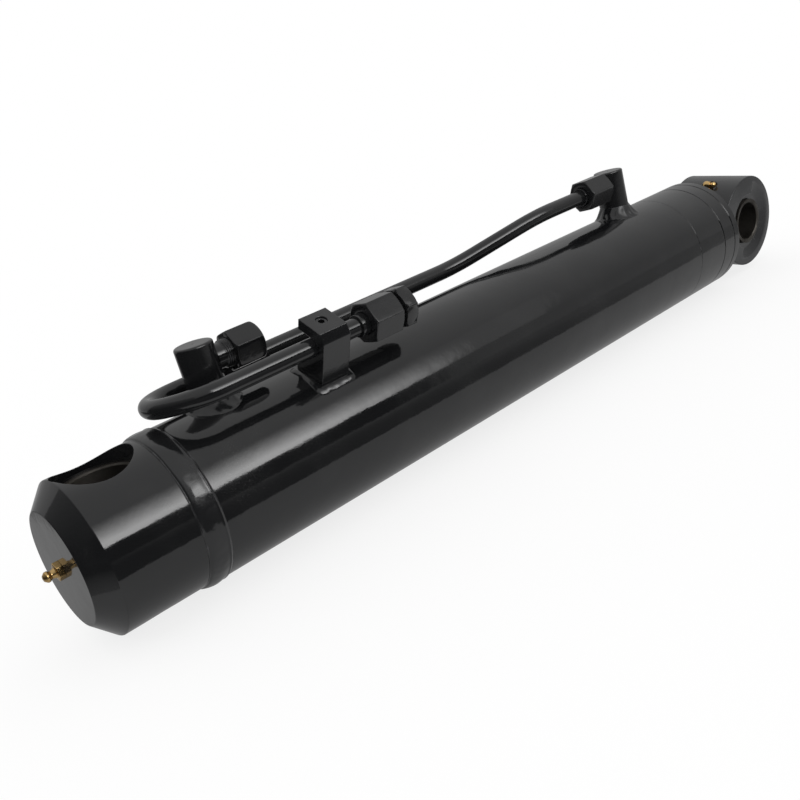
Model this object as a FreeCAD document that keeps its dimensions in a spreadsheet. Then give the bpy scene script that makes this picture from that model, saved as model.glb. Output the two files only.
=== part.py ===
import FreeCAD, Part
import math
import os
import re

import Sketcher
from FreeCAD import Placement, Rotation, Vector

# A double-acting hydraulic cylinder, fully retracted, in millimetres.
# +X runs along the cylinder from the base end to the rod eye, +Z is the direction that the
# two port posts point in, and the origin is the centre of the cross bore in the base end.

SIZES = {
    # barrel, base end and head end, along X
    "barrel_radius": 50.0,
    "bore_radius": 42.5,
    "base_face_at": -36.5,
    "base_face_radius": 35.65,
    "base_cone_end": -24.5,
    "block_radius": 48.85,
    "block_end": 27.0,
    "spigot_end": 58.0,
    "spigot_radius": 42.4,
    "weld_root_start": 33.0,
    "weld_root_end": 36.0,
    "weld_root_radius": 43.6,
    "weld_crown_radius": 51.2,
    "weld_end": 42.5,
    "tube_end": 544.5,
    "collar_end": 584.0,
    "collar_bore_radius": 44.0,
    "flange_end": 601.0,
    "head_face_at": 610.5,
    "edge_break": 0.8,
    # base cross bore
    "base_hole_radius": 24.0,
    "base_pin_radius": 20.0,
    "base_bushing_half": 38.0,
    "grease_hole_radius": 2.0,
    # gland and its seals
    "gland_nose_at": 494.0,
    "gland_nose_end": 512.0,
    "gland_nose_radius": 39.0,
    "gland_radius": 42.4,
    "gland_collar_radius": 43.95,
    "gland_bore_radius": 25.3,
    "o_ring_at": 519.0,
    "o_ring_width": 5.0,
    "backup_ring_width": 2.0,
    "o_ring_groove_radius": 38.6,
    "wear_ring_at": 499.0,
    "wear_ring_width": 12.0,
    "wear_ring_depth": 2.5,
    "rod_seal_at": 530.0,
    "rod_seal_width": 11.0,
    "rod_seal_depth": 6.0,
    "buffer_seal_at": 552.0,
    "buffer_seal_width": 7.0,
    "buffer_seal_depth": 5.0,
    "outer_wear_ring_at": 568.0,
    "wiper_at": 603.0,
    "wiper_depth": 5.0,
    "seal_to_rod": 0.05,
    # rod and piston
    "rod_radius": 25.0,
    "rod_tail_radius": 16.0,
    "piston_nut_at": 61.0,
    "piston_nut_end": 85.0,
    "piston_nut_flats": 55.0,
    "piston_at": 87.0,
    "piston_end": 127.0,
    "piston_radius": 42.0,
    "piston_groove_width": 8.0,
    "piston_ring_at": 91.0,
    "piston_seal_at": 103.0,
    "piston_ring_two_at": 115.0,
    "piston_ring_depth": 2.5,
    "piston_seal_depth": 6.0,
    "seal_side_gap": 0.2,
    "seal_floor_gap": 0.3,
    "seal_to_bore": 0.05,
    "piston_o_ring_radius": 1.5,
    "piston_o_ring_at": 107.0,
    # rod eye
    "eye_at": 661.0,
    "eye_radius": 42.5,
    "eye_tilt": 6.5,
    "eye_half_width": 31.0,
    "eye_hole_radius": 21.0,
    "eye_pin_radius": 17.5,
    "eye_counterbore_radius": 25.0,
    "eye_pocket_radius": 38.4,
    "eye_counterbore_depth": 3.0,
    "eye_pocket_depth": 5.0,
    "eye_pocket_sweep": 184.0,
    "eye_pocket_start": -111.0,
    "eye_weld_start": 617.0,
    "eye_weld_end": 632.0,
    "eye_weld_radius": 33.0,
    # rod grease fitting, an elbow in a spot face on the eye
    "elbow_angle": 117.0,
    "elbow_side": -1.0,
    "elbow_seat": 38.0,
    "elbow_height": 8.3,
    "elbow_radius": 4.2,
    "elbow_flats": 9.0,
    "elbow_hex_height": 4.5,
    "elbow_spot_radius": 9.0,
    # grease fitting heads
    "nipple_flats": 11.0,
    "nipple_hex_length": 4.0,
    "nipple_neck_radius": 2.4,
    "nipple_head_radius": 3.25,
    "nipple_length": 11.0,
    "nipple_thread_radius": 4.0,
    "nipple_thread_length": 7.0,
    # port posts
    "base_post_at": 81.65,
    "head_post_at": 501.6,
    "post_radius": 12.2,
    "post_top": 88.0,
    "post_rim": 1.2,
    "post_foot": 44.0,
    "port_weld_radius": 22.0,
    "port_weld_base": 42.0,
    "port_weld_top": 63.0,
    "oil_way_radius": 4.0,
    "fitting_stub_radius": 7.0,
    "fitting_stub_depth": 5.0,
    # 12 mm tube fittings
    "tube_radius": 6.0,
    "tube_wall": 1.5,
    "tube_fit": 0.05,
    "nut_flats": 24.0,
    "coupling_flats": 26.0,
    "thread_radius": 9.0,
    "nut_height": 75.0,
    "sleeve_radius": 7.5,
    "nut_lip": 5.0,
    "sleeve_proud": 3.0,
    "socket_depth": 10.0,
    "hex_bevel": 1.6,
    "head_nut_at": 461.0,
    "head_nut_end": 489.0,
    "base_nut_at": 102.5,
    "base_nut_end": 124.0,
    "base_nut_round": 6.0,
    "base_neck_radius": 8.0,
    "coupling_nut_at": 181.5,
    "coupling_nut_end": 205.5,
    "coupling_hex_at": 208.5,
    "coupling_hex_end": 218.0,
    "coupling_port_radius": 6.58,
    "coupling_port_depth": 14.0,
    # return tube route
    "head_leg_height": 76.0,
    "back_leg_side": 30.0,
    "back_leg_height": 58.5,
    "front_leg_side": -35.5,
    "front_leg_height": 65.0,
    "bend_start": 76.35,
    "s_bend_low": 328.5,
    "s_bend_high": 401.0,
    "s_bend_radius": 80.0,
    # tube clamp
    "clamp_at": 139.0,
    "clamp_length": 21.5,
    "clamp_near": 11.1,
    "clamp_far": 13.7,
    "clamp_top": 87.4,
    "clamp_bevel_width": 4.3,
    "clamp_bevel_height": 5.6,
    "clamp_foot": 44.0,
    "clamp_hole_fit": 0.1,
    "clamp_weld_leg": 5.0,
    "clamp_weld_top": 56.0,
    "screw_side": 4.5,
    "screw_radius": 4.0,
    "screw_sink": 0.9,
    "screw_key_radius": 2.3,
    "screw_key_depth": 3.0,
}

doc = FreeCAD.newDocument("hydraulic_cylinder")
sheet = doc.addObject("Spreadsheet::Sheet", "dims")
for row, (alias, value) in enumerate(SIZES.items(), start=1):
    sheet.set(f"A{row}", alias)
    sheet.set(f"B{row}", str(value))
    sheet.setAlias(f"B{row}", alias)
doc.recompute()

ALIAS = re.compile(r"\b(" + "|".join(sorted(SIZES, key=len, reverse=True)) + r")\b")
pieces = []


def named(text):
    """An expression with each alias written as a cell of the sheet."""
    return ALIAS.sub(r"dims.\1", text)


def size(text):
    """The value of an expression of the sheet's sizes."""
    return float(sheet.evalExpression(ALIAS.sub(r"\1", text)))


def bind(item, **texts):
    """Bind properties of an object to expressions of the sheet's sizes."""
    for name, text in texts.items():
        item.setExpression(name, named(text))


def place(item, x="0", y="0", z="0", turn=None):
    """Place an object: its position follows the sheet, its rotation is given."""
    item.Placement = Placement(Vector(size(x), size(y), size(z)), turn or Rotation())
    for name, text in (("x", x), ("y", y), ("z", z)):
        item.setExpression(f".Placement.Base.{name}", named(text))
    return item


def keep(item, label):
    """Make an object a finished piece of the cylinder, with its own name."""
    item.Label = label
    pieces.append(item)
    return item


def turn_to(direction):
    """The rotation that takes +Z to a direction."""
    return Rotation(Vector(0, 0, 1), direction)


def cylinder(name, radius, height, x="0", y="0", z="0", direction=Vector(0, 0, 1)):
    item = doc.addObject("Part::Cylinder", name)
    bind(item, Radius=radius, Height=height)
    return place(item, x, y, z, turn_to(direction))


def cut(name, base, *tools):
    """One object less one or more others."""
    for number, tool in enumerate(tools):
        result = doc.addObject("Part::Cut", f"{name}_less_{number}")
        result.Base = base
        result.Tool = tool
        base = result
    return base


def joined(name, *shapes):
    result = doc.addObject("Part::MultiFuse", f"{name}_joined")
    result.Shapes = list(shapes)
    result.Refine = True
    return result


def origin_plane(body, role):
    return next(item for item in body.Origin.OriginFeatures if item.Role == role)


def closed_sketch(body, role, corners):
    """A sketch of straight lines through corners, each corner bound to the sheet."""
    sketch = body.newObject("Sketcher::SketchObject", body.Name + "_outline")
    sketch.AttachmentSupport = [(origin_plane(body, role), "")]
    sketch.MapMode = "FlatFace"
    points = [Vector(size(across), size(up), 0) for across, up in corners]
    count = len(points)
    for index in range(count):
        sketch.addGeometry(Part.LineSegment(points[index], points[(index + 1) % count]))
    for index in range(count):
        sketch.addConstraint(Sketcher.Constraint("Coincident", index, 2, (index + 1) % count, 1))
    for index, (point, texts) in enumerate(zip(points, corners)):
        for kind, value, text in (("DistanceX", point.x, texts[0]), ("DistanceY", point.y, texts[1])):
            number = sketch.addConstraint(Sketcher.Constraint(kind, -1, 1, index, 1, value))
            sketch.setExpression(f"Constraints[{number}]", named(text))
    return sketch


def turned(name, corners):
    """A body turned about its own X axis; each corner is (along, radius)."""
    body = doc.addObject("PartDesign::Body", name)
    sketch = closed_sketch(body, "XY_Plane", corners)
    turning = body.newObject("PartDesign::Revolution", name + "_turning")
    turning.Profile = sketch
    turning.ReferenceAxis = (sketch, ["H_Axis"])
    turning.Angle = 360.0
    return body


def ring(name, start, end, inner, outer):
    """A plain ring about the X axis."""
    return turned(name, [(start, inner), (end, inner), (end, outer), (start, outer)])


def hexagon(name, form, flats, start, end, turn_degrees=0.0):
    """A turned form with hexagon sides; the two overlap over the hexagon's length."""
    bar = doc.addObject("Part::Prism", name + "_bar")
    bar.Polygon = 6
    bind(bar, Circumradius=f"({flats}) / sqrt(3)", Height=f"({end}) - ({start})")
    place(bar, start, turn=Rotation(Vector(1, 0, 0), turn_degrees) * turn_to(Vector(1, 0, 0)))
    result = doc.addObject("Part::Common", name + "_hexagon")
    result.Base = bar
    result.Tool = form
    return result


def barrel_core(name):
    """The barrel's full round, used to shape the foot of what is welded to it."""
    return cylinder(name, "barrel_radius", "tube_end", direction=Vector(1, 0, 0))


# ---------------------------------------------------------------- barrel and base end

def make_barrel_tube():
    blank = turned("barrel_tube_blank", [
        ("weld_root_end", "bore_radius"), ("tube_end", "bore_radius"),
        ("tube_end", "barrel_radius"), ("weld_end", "barrel_radius"),
        ("weld_root_end", "weld_root_radius")])
    ways = [cylinder(f"barrel_oil_way_{end}", "oil_way_radius", "barrel_radius * 2",
                     x=f"{end}_post_at") for end in ("base", "head")]
    keep(cut("barrel_tube", blank, *ways), "barrel_tube")


def make_base_end_block():
    blank = turned("base_end_block_blank", [
        ("base_face_at", "0"), ("base_face_at", "base_face_radius"),
        ("base_cone_end", "block_radius"), ("block_end", "block_radius"),
        ("weld_root_start", "weld_root_radius"), ("weld_root_start", "spigot_radius"),
        ("spigot_end", "spigot_radius"), ("spigot_end", "0")])
    bore = cylinder("base_cross_bore", "base_hole_radius", "block_radius * 2", z="-block_radius")
    thread = cylinder("base_grease_thread", "nipple_thread_radius", "nipple_thread_length",
                      x="base_face_at", direction=Vector(1, 0, 0))
    way = cylinder("base_grease_way", "grease_hole_radius", "-base_face_at",
                   x="base_face_at", direction=Vector(1, 0, 0))
    keep(cut("base_end_block", blank, bore, thread, way), "base_end_block")


def make_base_weld_bead():
    bead = turned("base_weld_bead", [
        ("block_end", "block_radius"), ("weld_root_start", "weld_root_radius"),
        ("weld_root_end", "weld_root_radius"), ("weld_end", "barrel_radius"),
        ("weld_end - 3", "weld_crown_radius - 0.3"),
        ("(block_end + weld_end) / 2", "weld_crown_radius"),
        ("block_end + 3", "weld_crown_radius - 0.8")])
    keep(bead, "base_weld_bead")


def bushing(name, inner, outer, half):
    """A plain bushing along Z with one grease hole through its wall on the -X side."""
    wall = turned(name + "_wall", [
        (f"-{half} + 1", inner), (f"-{half}", f"{inner} + 1"), (f"-{half}", outer),
        (half, outer), (half, f"{inner} + 1"), (f"{half} - 1", inner)])
    hole = cylinder(name + "_grease_hole", "grease_hole_radius", f"{outer} * 2",
                    direction=Vector(0, 0, 1))
    return cut(name, wall, hole)


def make_base_bushing():
    piece = bushing("base_bushing", "base_pin_radius", "base_hole_radius", "base_bushing_half")
    keep(place(piece, turn=Rotation(Vector(0, 1, 0), -90)), "base_bushing")


def nipple_corners():
    """Outline of a straight grease fitting's head, neck and hexagon, outwards along X."""
    return [("0", "0"), ("0", "nipple_flats"), ("nipple_hex_length", "nipple_flats"),
            ("nipple_hex_length", "nipple_neck_radius + 0.8"),
            ("nipple_length - 5", "nipple_neck_radius"),
            ("nipple_length - 4", "nipple_neck_radius"),
            ("nipple_length - 3", "nipple_head_radius"),
            ("nipple_length - 2", "nipple_head_radius"),
            ("nipple_length", "nipple_head_radius - 1.6"), ("nipple_length", "0")]


def make_base_grease_fitting():
    head = turned("base_fitting_head", nipple_corners())
    bar = hexagon("base_fitting", head, "nipple_flats", "0", "nipple_hex_length", 12.0)
    spindle = turned("base_fitting_spindle", [
        ("0", "0"), ("0", "nipple_neck_radius")] + nipple_corners()[3:])
    thread = cylinder("base_fitting_thread", "nipple_thread_radius", "nipple_thread_length",
                      x="-nipple_thread_length", direction=Vector(1, 0, 0))
    way = cylinder("base_fitting_way", "0.6", "nipple_length + nipple_thread_length",
                   x="-nipple_thread_length", direction=Vector(1, 0, 0))
    solid = cut("base_fitting", joined("base_fitting", bar, spindle, thread), way)
    keep(place(solid, "base_face_at", turn=Rotation(Vector(0, 0, 1), 180)), "base_grease_fitting")


# ---------------------------------------------------------------- port posts

def make_port_post(end, toward, height):
    """A round post on the barrel with an oil way up its middle and a side port at a height."""
    rod = cylinder(f"{end}_post_round", "post_radius", "post_top - post_foot", z="post_foot")
    top = turned(f"{end}_post_limit", [
        ("post_foot", "0"), ("post_foot", "post_radius"), ("post_top - post_rim", "post_radius"),
        ("post_top", "post_radius - post_rim"), ("post_top", "0")])
    place(top, turn=Rotation(Vector(0, 1, 0), -90))
    shaped = doc.addObject("Part::Common", f"{end}_post_shaped")
    shaped.Base = rod
    shaped.Tool = top
    way = cylinder(f"{end}_post_way", "oil_way_radius", f"{height} - post_foot", z="post_foot")
    side = cylinder(f"{end}_post_side", "fitting_stub_radius", "post_radius * 2",
                    x=f"{toward} * fitting_stub_depth", z=height,
                    direction=Vector(toward, 0, 0))
    link = cylinder(f"{end}_post_link", "oil_way_radius", "post_radius", z=height,
                    direction=Vector(toward, 0, 0))
    core = place(barrel_core(f"{end}_post_core"), "-tube_end / 2",
                 turn=turn_to(Vector(1, 0, 0)))
    piece = cut(f"{end}_post", shaped, way, side, link, core)
    keep(place(piece, f"{end}_post_at"), f"{end}_port_post")


def make_port_weld(end):
    """The fillet of weld round the foot of a port post."""
    cone = doc.addObject("Part::Cone", f"{end}_port_weld_cone")
    bind(cone, Radius1="port_weld_radius", Radius2="post_radius",
         Height="port_weld_top - port_weld_base")
    place(cone, z="port_weld_base")
    post = cylinder(f"{end}_port_weld_post", "post_radius", "post_top")
    core = place(barrel_core(f"{end}_port_weld_core"), "-tube_end / 2",
                 turn=turn_to(Vector(1, 0, 0)))
    keep(place(cut(f"{end}_port_weld", cone, post, core), f"{end}_post_at"), f"{end}_port_weld")


# ---------------------------------------------------------------- tube fittings

def fitting_nut(name, flats, start, end, angle):
    """A hexagon tube nut; its small end, with the sleeve, is at start."""
    corner = f"{flats} / sqrt(3)"
    form = turned(name + "_form", [
        (start, "sleeve_radius + tube_fit"), (start, f"{corner} - hex_bevel"),
        (f"{start} + hex_bevel * 0.5", corner), (f"{end} - hex_bevel * 0.6", corner),
        (end, f"{corner} - hex_bevel"), (end, "thread_radius + tube_fit"),
        (f"{start} + nut_lip", "thread_radius + tube_fit"),
        (f"{start} + nut_lip", "sleeve_radius + tube_fit")])
    return hexagon(name, form, flats, start, end, angle)


def make_head_fitting():
    """Adapter, nut and sleeve where the tube meets the head post; the tube leaves to -X."""
    adapter = turned("head_port_adapter_blank", [
        ("head_nut_at + 7", "tube_radius + tube_fit"), ("head_nut_at + 7", "thread_radius"),
        ("head_nut_end + 0.5", "thread_radius"), ("head_nut_end + 0.5", "fitting_stub_radius"),
        ("head_post_at - fitting_stub_depth", "fitting_stub_radius"),
        ("head_post_at - fitting_stub_depth", "oil_way_radius"),
        ("head_nut_at + 7 + socket_depth", "oil_way_radius"),
        ("head_nut_at + 7 + socket_depth", "tube_radius + tube_fit")])
    post = cylinder("head_adapter_post", "post_radius", "post_top", x="head_post_at",
                    z="-post_top / 2")
    outer = cylinder("head_adapter_outer", "thread_radius * 2", "post_radius * 2",
                     x="head_post_at - post_radius * 2", direction=Vector(1, 0, 0))
    stub_room = cylinder("head_adapter_stub_room", "fitting_stub_radius", "post_radius * 4",
                         x="head_post_at - post_radius * 3", direction=Vector(1, 0, 0))
    shoulder = doc.addObject("Part::Common", "head_adapter_shoulder")
    shoulder.Base = cut("head_adapter_shoulder_room", outer, stub_room)
    shoulder.Tool = post
    keep(place(cut("head_port_adapter", adapter, shoulder), z="head_leg_height"),
         "head_port_adapter")
    nut = fitting_nut("head_tube_nut", "nut_flats", "head_nut_at", "head_nut_end", 25.0)
    keep(place(nut, z="head_leg_height"), "head_tube_nut")
    sleeve = ring("head_tube_sleeve", "head_nut_at - sleeve_proud", "head_nut_at + nut_lip",
                  "tube_radius", "sleeve_radius")
    keep(place(sleeve, z="head_leg_height"), "head_tube_sleeve")


def make_base_fitting():
    """Adapter and open tube nut at the base post; the supply tube would leave to +X."""
    adapter = turned("base_port_adapter_blank", [
        ("base_post_at + fitting_stub_depth", "oil_way_radius"),
        ("base_post_at + fitting_stub_depth", "fitting_stub_radius"),
        ("base_post_at + post_radius + 0.3", "fitting_stub_radius"),
        ("base_post_at + post_radius + 0.3", "base_neck_radius"),
        ("base_nut_at - 4", "base_neck_radius"), ("base_nut_at - 4", "thread_radius"),
        ("base_nut_end - 9", "thread_radius"), ("base_nut_end - 9", "tube_radius + tube_fit"),
        ("base_nut_end - 9 - socket_depth", "tube_radius + tube_fit"),
        ("base_nut_end - 9 - socket_depth", "oil_way_radius")])
    keep(place(adapter, z="nut_height"), "base_port_adapter")
    corner = "nut_flats / sqrt(3)"
    form = turned("base_port_nut_form", [
        ("base_nut_at", "thread_radius + tube_fit"), ("base_nut_at", f"{corner} - hex_bevel"),
        ("base_nut_at + hex_bevel * 0.5", corner),
        ("base_nut_end - base_nut_round", corner),
        ("base_nut_end - base_nut_round * 0.4", f"{corner} - base_nut_round * 0.25"),
        ("base_nut_end", f"{corner} - base_nut_round * 0.75"),
        ("base_nut_end", "tube_radius + clamp_hole_fit"),
        ("base_nut_end - 8", "tube_radius + clamp_hole_fit"),
        ("base_nut_end - 8", "thread_radius + tube_fit")])
    nut = hexagon("base_port_nut", form, "nut_flats", "base_nut_at", "base_nut_end", 14.0)
    keep(place(nut, z="nut_height"), "base_port_nut")


def make_coupling():
    """Sleeve, nut and female coupling at the free end of the return tube."""
    side, height = "front_leg_side", "front_leg_height"
    sleeve = ring("coupling_sleeve", "coupling_nut_at - sleeve_proud * 2",
                  "coupling_nut_at + nut_lip", "tube_radius", "sleeve_radius")
    keep(place(sleeve, y=side, z=height), "coupling_sleeve")
    nut = fitting_nut("coupling_nut", "coupling_flats", "coupling_nut_at", "coupling_nut_end", 27.5)
    keep(place(nut, y=side, z=height), "coupling_nut")
    corner = "coupling_flats / sqrt(3)"
    form = turned("coupling_body_form", [
        ("coupling_hex_at", "thread_radius - 1"), ("coupling_hex_at", f"{corner} - hex_bevel"),
        ("coupling_hex_at + hex_bevel * 0.5", corner),
        ("coupling_hex_end - hex_bevel * 0.5", corner),
        ("coupling_hex_end", f"{corner} - hex_bevel"),
        ("coupling_hex_end", "thread_radius - 1")])
    collar = hexagon("coupling_body", form, "coupling_flats", "coupling_hex_at", "coupling_hex_end", 24.0)
    inlet = "coupling_nut_at + 8.5"
    core = turned("coupling_body_core", [
        (inlet, "tube_radius + tube_fit"), (inlet, "thread_radius"),
        ("coupling_hex_end", "thread_radius"), ("coupling_hex_end", "coupling_port_radius"),
        ("coupling_hex_end - coupling_port_depth", "coupling_port_radius"),
        ("coupling_hex_end - coupling_port_depth", "oil_way_radius"),
        (f"{inlet} + socket_depth", "oil_way_radius"),
        (f"{inlet} + socket_depth", "tube_radius + tube_fit")])
    keep(place(joined("coupling_body", collar, core), y=side, z=height), "coupling_body")


def make_return_tube():
    """One bent steel tube: head leg, S-bend, back leg, U-bend and front leg."""
    tube_outer, tube_inner = size("tube_radius"), size("tube_radius - tube_wall")
    start = Vector(size("head_nut_at + 7 + socket_depth"), 0, size("head_leg_height"))
    high = Vector(size("s_bend_high"), 0, size("head_leg_height"))
    low = Vector(size("s_bend_low"), size("back_leg_side"), size("back_leg_height"))
    back_end = Vector(size("bend_start"), size("back_leg_side"), size("back_leg_height"))
    front_start = Vector(size("bend_start"), size("front_leg_side"), size("front_leg_height"))
    end = Vector(size("coupling_nut_at + 8.5 + socket_depth"), front_start.y, front_start.z)
    slope = (low - high).normalize()
    half_turn = math.acos(slope.dot(Vector(-1, 0, 0))) / 2
    radius = size("s_bend_radius")
    run = radius * math.tan(half_turn)
    sag = radius / math.cos(half_turn) - radius
    along = Vector(1, 0, 0)
    edges = []
    here = start
    for corner, before, after in ((high, along * -1, slope), (low, slope, along * -1)):
        first, last = corner - before * run, corner + after * run
        inward = (after - before).normalize()
        edges.append(Part.LineSegment(here, first).toShape())
        edges.append(Part.Arc(first, corner + inward * sag, last).toShape())
        here = last
    edges.append(Part.LineSegment(here, back_end).toShape())
    reach = (front_start - back_end).Length / 2
    turn_point = (front_start + back_end) * 0.5 - along * reach
    edges.append(Part.Arc(back_end, turn_point, front_start).toShape())
    edges.append(Part.LineSegment(front_start, end).toShape())
    path = Part.Wire(edges)

    def pipe(section_radius):
        section = Part.Wire([Part.Circle(start, along, section_radius).toShape()])
        return path.makePipeShell([section], True, False)

    tube = doc.addObject("Part::Feature", "return_tube_bent")
    tube.Shape = pipe(tube_outer).cut(pipe(tube_inner))
    tube.Placement = Placement()
    expected = math.pi * (tube_outer ** 2 - tube_inner ** 2) * path.Length
    if abs(tube.Shape.Volume - expected) > 0.01 * expected:
        raise RuntimeError(f"return tube volume {tube.Shape.Volume:.0f}, expected {expected:.0f}")
    keep(tube, "return_tube")


# ---------------------------------------------------------------- tube clamp

def clamp_turn():
    """The clamp stands radially over the barrel, through the front leg of the tube."""
    return Rotation(Vector(1, 0, 0), math.degrees(math.atan2(-size("front_leg_side"),
                                                             size("front_leg_height"))))


def padded(name, corners, length):
    """A body padded along X from a section across it; each corner is (side, up)."""
    body = doc.addObject("PartDesign::Body", name)
    pad = body.newObject("PartDesign::Pad", name + "_pad")
    pad.Profile = closed_sketch(body, "YZ_Plane", corners)
    bind(pad, Length=length)
    return body


def make_clamp():
    """A block with a slot for the tube, open on its far side, and a set screw in its top."""
    reach = "sqrt(front_leg_side ^ 2 + front_leg_height ^ 2)"
    slot = "tube_radius + clamp_hole_fit"
    blank = padded("clamp_blank", [
        ("-clamp_near", "clamp_foot"), ("clamp_far", "clamp_foot"), ("clamp_far", "clamp_top"),
        ("clamp_bevel_width - clamp_near", "clamp_top"),
        ("-clamp_near", "clamp_top - clamp_bevel_height")], "clamp_length")
    core = place(barrel_core("clamp_core"), "-clamp_length", turn=turn_to(Vector(1, 0, 0)))
    slot_end = cylinder("clamp_slot_end", slot, "clamp_length", z=reach,
                        direction=Vector(1, 0, 0))
    slot_room = doc.addObject("Part::Box", "clamp_slot_room")
    bind(slot_room, Length="clamp_length", Width="clamp_far", Height=f"2 * ({slot})")
    place(slot_room, z=f"{reach} - ({slot})")
    tapped = cylinder("clamp_tapped_hole", "screw_radius", "clamp_top", x="clamp_length / 2",
                      y="screw_side", z=reach)
    block = cut("tube_clamp_block", blank, core, slot_end, slot_room, tapped)
    turn = clamp_turn()
    keep(place(block, "clamp_at", turn=turn), "tube_clamp_block")

    bottom = f"{reach} + tube_radius + tube_fit"
    shank = cylinder("clamp_screw_shank", "screw_radius - tube_fit",
                     f"clamp_top - screw_sink - ({bottom})", z=bottom)
    key = doc.addObject("Part::Prism", "clamp_screw_key")
    key.Polygon = 6
    bind(key, Circumradius="screw_key_radius", Height="screw_key_depth")
    place(key, z="clamp_top - screw_sink - screw_key_depth")
    screw = cut("clamp_screw", shank, key)
    across = turn.multVec(Vector(0, size("screw_side"), 0))
    screw.Placement = Placement(Vector(size("clamp_at + clamp_length / 2"), across.y, across.z), turn)
    keep(screw, "clamp_screw")

    leg = "clamp_weld_leg"
    fillet = padded("clamp_weld_blank", [
        (f"-clamp_near - {leg}", "clamp_foot"), (f"clamp_far + {leg}", "clamp_foot"),
        ("clamp_far", "clamp_weld_top"), ("-clamp_near", "clamp_weld_top")],
        f"clamp_length + 2 * {leg}")
    place(fillet, f"-{leg}")
    hole = doc.addObject("Part::Box", "clamp_weld_hole")
    bind(hole, Length="clamp_length", Width="clamp_near + clamp_far", Height="clamp_top")
    place(hole, y="-clamp_near")
    round_core = place(barrel_core("clamp_weld_core"), "-clamp_length * 2",
                       turn=turn_to(Vector(1, 0, 0)))
    keep(place(cut("clamp_weld", fillet, hole, round_core), "clamp_at", turn=turn), "clamp_weld")


# ---------------------------------------------------------------- head end and its seals

def make_head_end():
    keep(turned("head_collar", [
        ("tube_end", "collar_bore_radius"), ("collar_end", "collar_bore_radius"),
        ("collar_end", "barrel_radius - edge_break"), ("collar_end - edge_break", "barrel_radius"),
        ("tube_end + edge_break * 0.5", "barrel_radius"),
        ("tube_end", "barrel_radius - edge_break * 0.5")]), "head_collar")

    def groove(start, width, depth):
        floor = f"gland_bore_radius + {depth}"
        end = f"{start} + {width}"
        return [(start, "gland_bore_radius"), (start, floor), (end, floor),
                (end, "gland_bore_radius")]

    inside = [("gland_nose_at", "gland_bore_radius")]
    inside += groove("wear_ring_at", "wear_ring_width", "wear_ring_depth")
    inside += groove("rod_seal_at", "rod_seal_width", "rod_seal_depth")
    inside += groove("buffer_seal_at", "buffer_seal_width", "buffer_seal_depth")
    inside += groove("outer_wear_ring_at", "wear_ring_width", "wear_ring_depth")
    o_ring_end = "o_ring_at + o_ring_width + backup_ring_width"
    outside = [
        ("flange_end", "gland_bore_radius"), ("flange_end", "barrel_radius - edge_break"),
        ("flange_end - edge_break", "barrel_radius"), ("collar_end + edge_break", "barrel_radius"),
        ("collar_end", "barrel_radius - edge_break"), ("collar_end", "gland_collar_radius"),
        ("tube_end", "gland_collar_radius"), ("tube_end", "gland_radius"),
        (o_ring_end, "gland_radius"), (o_ring_end, "o_ring_groove_radius"),
        ("o_ring_at", "o_ring_groove_radius"), ("o_ring_at", "gland_radius"),
        ("gland_nose_end", "gland_radius"), ("gland_nose_end", "gland_nose_radius"),
        ("gland_nose_at", "gland_nose_radius")]
    keep(turned("gland", inside + outside), "gland")

    keep(turned("wiper_ring_housing", [
        ("flange_end", "gland_bore_radius"), ("wiper_at", "gland_bore_radius"),
        ("wiper_at", "gland_bore_radius + wiper_depth"),
        ("head_face_at", "gland_bore_radius + wiper_depth"),
        ("head_face_at", "barrel_radius - edge_break * 2"),
        ("head_face_at - edge_break * 2", "barrel_radius"),
        ("flange_end + edge_break", "barrel_radius"),
        ("flange_end", "barrel_radius - edge_break")]), "wiper_ring_housing")

    lip = "rod_radius + seal_to_rod"
    for label, start, width, depth in (
            ("rod_wear_ring_inner", "wear_ring_at", "wear_ring_width", "wear_ring_depth"),
            ("rod_seal", "rod_seal_at", "rod_seal_width", "rod_seal_depth"),
            ("buffer_seal", "buffer_seal_at", "buffer_seal_width", "buffer_seal_depth"),
            ("rod_wear_ring_outer", "outer_wear_ring_at", "wear_ring_width", "wear_ring_depth")):
        keep(ring(label, start, f"{start} + {width}", lip, f"gland_bore_radius + {depth}"), label)
    keep(turned("wiper_seal", [
        ("wiper_at", "rod_radius + 1.5"), ("wiper_at", "gland_bore_radius + wiper_depth"),
        ("head_face_at - 1", "gland_bore_radius + wiper_depth"),
        ("head_face_at + 0.8", "rod_radius + 1.6"), ("head_face_at + 0.8", lip),
        ("head_face_at - 1.5", lip)]), "wiper_seal")
    keep(ring("gland_o_ring", "o_ring_at", "o_ring_at + o_ring_width",
              "o_ring_groove_radius", "bore_radius"), "gland_o_ring")
    keep(ring("gland_backup_ring", "o_ring_at + o_ring_width", o_ring_end,
              "o_ring_groove_radius", "bore_radius"), "gland_backup_ring")


# ---------------------------------------------------------------- rod, piston and eye

def eye_direction():
    """The direction of the eye's pin axis."""
    tilt = math.radians(size("eye_tilt"))
    return Vector(0, math.cos(tilt), math.sin(tilt))


def eye_room(name):
    """The eye's full round about its pin axis, longer than the eye on both sides."""
    reach = "eye_half_width * 2"
    return cylinder(name, "eye_radius", f"{reach} * 2", "eye_at",
                    f"-{reach} * cos(eye_tilt * 1deg)", f"-{reach} * sin(eye_tilt * 1deg)",
                    eye_direction())


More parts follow.
